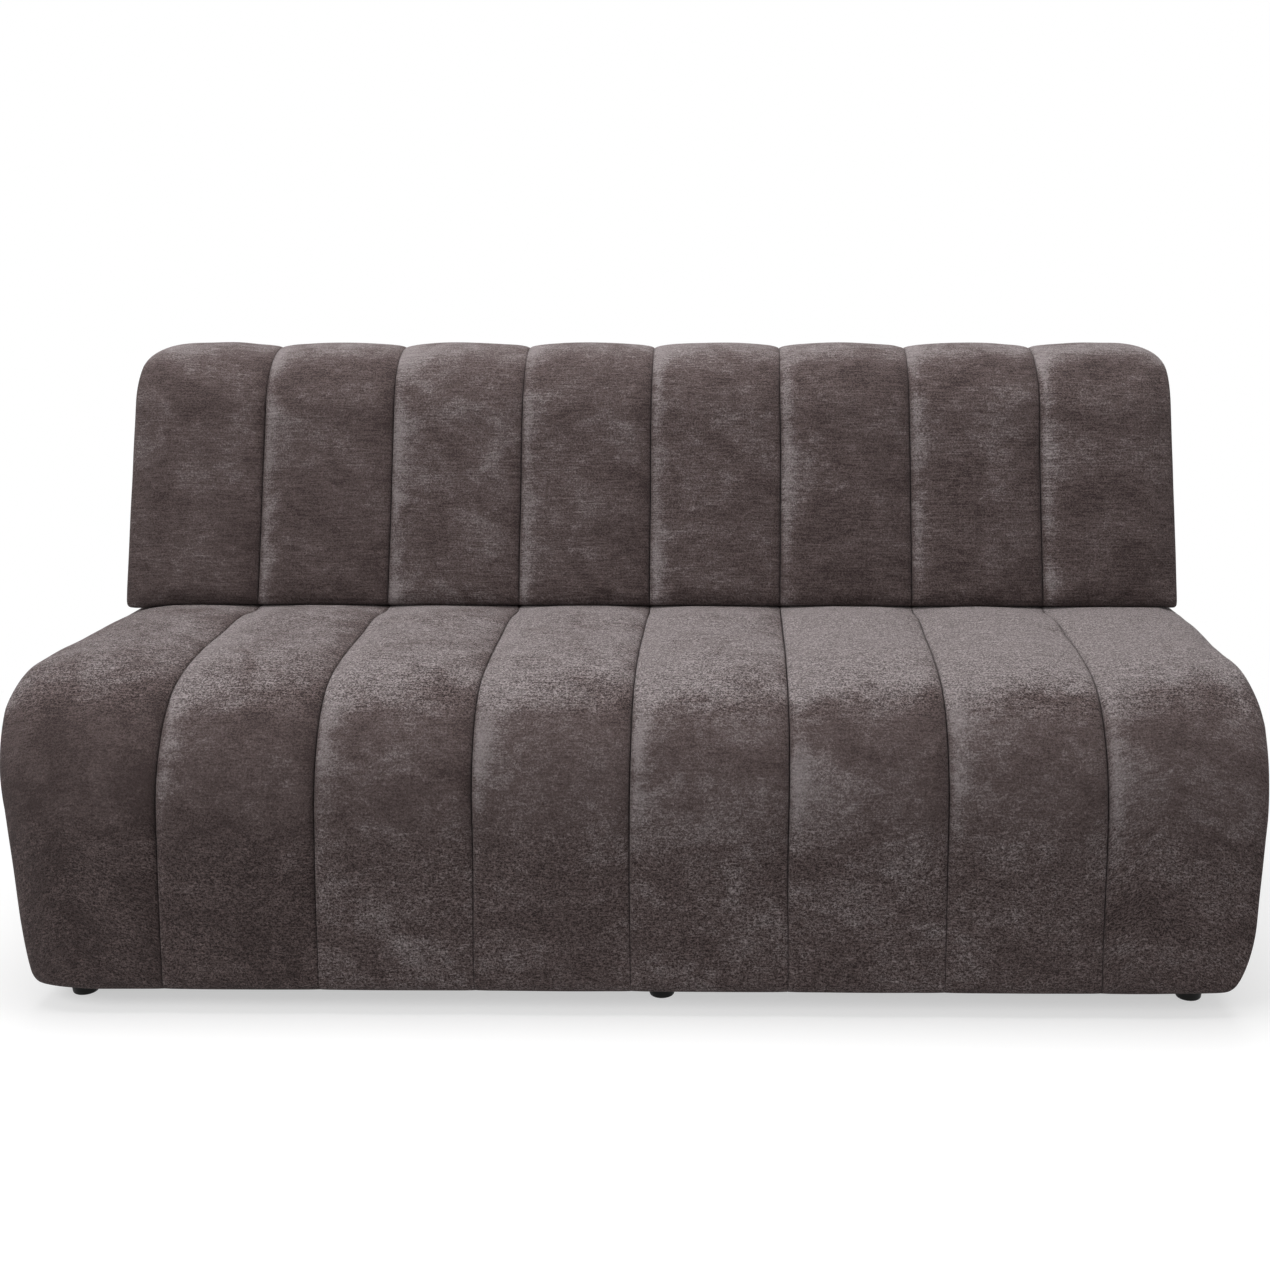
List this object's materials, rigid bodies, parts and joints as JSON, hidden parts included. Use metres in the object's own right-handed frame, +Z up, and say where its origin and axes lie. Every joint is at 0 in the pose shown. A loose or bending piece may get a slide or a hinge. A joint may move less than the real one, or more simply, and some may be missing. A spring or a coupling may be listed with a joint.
{
  "type": "dining sofa",
  "caption": "Armless upholstered dining sofa with a channelled seat rolling over its front edge, a raked channelled back and small round feet.",
  "frame": {"origin": "on the floor, under the middle of the sofa's box", "axes": "+X along the width, to the right of someone who looks at the front; -Y is the front; +Z up"},
  "size_m": [1.803, 0.7978, 0.927],
  "materials": {
    "chenille": "dark taupe chenille with a crushed nap and fine slubs across",
    "foam": "open-cell foam",
    "felt": "grey needled felt",
    "nonwoven": "black spunbond cloth",
    "timber": "planed softwood",
    "plywood": "sawn plywood",
    "steel": "bright zinc-plated steel",
    "black_plastic": "moulded black plastic, satin"
  },
  "bodies": {
    "root": {"seat_channel_1": "chenille", "seat_channel_2": "chenille", "seat_channel_3": "chenille", "seat_channel_4": "chenille", "seat_channel_5": "chenille", "seat_channel_6": "chenille", "seat_channel_7": "chenille", "seat_channel_8": "chenille", "back_channel_1": "chenille", "back_channel_2": "chenille", "back_channel_3": "chenille", "back_channel_4": "chenille", "back_channel_5": "chenille", "back_channel_6": "chenille", "back_channel_7": "chenille", "back_channel_8": "chenille", "seat_left_end_pad": "chenille", "seat_right_end_pad": "chenille", "back_left_end_pad": "chenille", "back_right_end_pad": "chenille", "outside_back_cover": "chenille", "base_rear_cover": "chenille", "seat_foam": "foam", "back_foam": "foam", "spring_pad": "felt", "dust_cover": "nonwoven", "front_bottom_rail": "timber", "rear_bottom_rail": "timber", "front_top_rail": "timber", "rear_top_rail": "timber", "back_top_rail": "timber", "back_lower_rail": "timber", "base_left_panel": "plywood", "base_right_panel": "plywood", "base_centre_rib": "plywood", "front_board": "plywood", "back_face_board": "plywood", "back_left_post": "plywood", "back_centre_post": "plywood", "back_right_post": "plywood", "seat_spring_1": "steel", "seat_spring_2": "steel", "seat_spring_3": "steel", "seat_spring_4": "steel", "seat_spring_5": "steel", "seat_spring_6": "steel", "seat_spring_7": "steel", "seat_spring_8": "steel", "back_screw_left_upper": "steel", "back_screw_left_lower": "steel", "back_screw_centre_upper": "steel", "back_screw_centre_lower": "steel", "back_screw_right_upper": "steel", "back_screw_right_lower": "steel", "foot_front_left": "black_plastic", "foot_front_middle": "black_plastic", "foot_front_right": "black_plastic", "foot_rear_left": "black_plastic", "foot_rear_middle": "black_plastic", "foot_rear_right": "black_plastic"}
  },
  "joints": []
}
